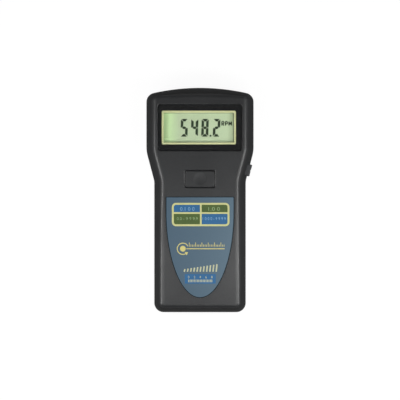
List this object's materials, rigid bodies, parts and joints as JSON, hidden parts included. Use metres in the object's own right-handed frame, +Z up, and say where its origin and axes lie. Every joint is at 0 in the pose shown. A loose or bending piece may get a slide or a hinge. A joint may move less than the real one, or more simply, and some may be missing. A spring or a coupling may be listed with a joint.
{
  "type": "digital tachometer",
  "caption": "Hand-held digital tachometer with a tapered case, windowed seven-segment display, front label, push buttons, lens end and a sliding battery cover.",
  "frame": {"origin": "centre of the case's outline on the flat back, which is the surface it rests on", "axes": "+Z up out of the display, +Y along the case towards the lens end, +X to the right as the display is read"},
  "size_m": [0.075, 0.157, 0.037],
  "materials": {
    "case_plastic": "charcoal moulded ABS with a fine matt texture",
    "button_plastic": "charcoal moulded ABS, a little smoother than the case",
    "label_film": "slate blue printed polyester film",
    "window_acrylic": "clear acrylic sheet with a black printed border",
    "black_foam": "closed-cell foam tape",
    "cream_plastic": "cream moulded plastic",
    "display_glass": "reflective liquid crystal glass, green-grey",
    "black_rubber": "conductive silicone rubber",
    "board_laminate": "glass-epoxy laminate with green solder mask",
    "black_resin": "moulded epoxy and black nylon",
    "switch_plunger_plastic": "brick red moulded plastic",
    "steel_can": "drawn steel can",
    "aluminium_can": "aluminium can in a clear sleeve",
    "chip_ceramic": "fired ceramic chip",
    "optics_plastic": "matt black moulded plastic",
    "lens_glass": "polished clear lens",
    "sensor_resin": "dark tinted epoxy",
    "brass": "turned brass",
    "cell_sleeve": "steel can in a plain printed sleeve",
    "contact_steel": "nickel-plated spring steel",
    "screw_steel": "zinc-plated steel"
  },
  "bodies": {
    "case": {"front_shell": "case_plastic", "rear_shell": "case_plastic", "front_label": "label_film", "display_window": "window_acrylic", "window_gasket": "black_foam", "lcd_frame": "cream_plastic", "lcd_panel": "display_glass", "zebra_strip_upper": "black_rubber", "zebra_strip_lower": "black_rubber", "main_board": "board_laminate", "controller_chip": "black_resin", "quartz_crystal": "steel_can", "electrolytic_capacitor": "aluminium_can", "board_resistors": "chip_ceramic", "memory_switch_base": "black_resin", "measuring_switch_base": "black_resin", "optics_bezel": "optics_plastic", "receiver_lens": "lens_glass", "optics_holder": "optics_plastic", "photo_sensor": "sensor_resin", "laser_barrel": "brass", "laser_lens": "lens_glass", "laser_diode": "steel_can", "battery_cell_1": "cell_sleeve", "battery_cell_2": "cell_sleeve", "battery_cell_3": "cell_sleeve", "battery_cell_4": "cell_sleeve", "negative_contact": "contact_steel", "positive_contact": "contact_steel", "link_contact_1": "contact_steel", "link_contact_2": "contact_steel", "link_contact_3": "contact_steel", "case_screws": "screw_steel", "board_screws": "screw_steel", "holder_screws": "screw_steel"},
    "memory_button": {"memory_button": "button_plastic", "memory_switch_plunger": "switch_plunger_plastic"},
    "measuring_button": {"measuring_button": "button_plastic", "measuring_switch_plunger": "switch_plunger_plastic"},
    "battery_cover": {"battery_cover": "case_plastic"}
  },
  "joints": [
    {"name": "memory_button_press", "type": "slide", "parent": "case", "child": "memory_button", "axis": [0, 0, -1], "range_m": [0, 0.0008], "stiffness_N_per_m": 2000},
    {"name": "measuring_button_press", "type": "slide", "parent": "case", "child": "measuring_button", "axis": [-0.9668, 0.2556, 0], "range_m": [0, 0.0006], "stiffness_N_per_m": 2500},
    {"name": "battery_cover_slide", "type": "slide", "parent": "case", "child": "battery_cover", "axis": [0, -1, 0], "range_m": [0, 0.06]}
  ]
}
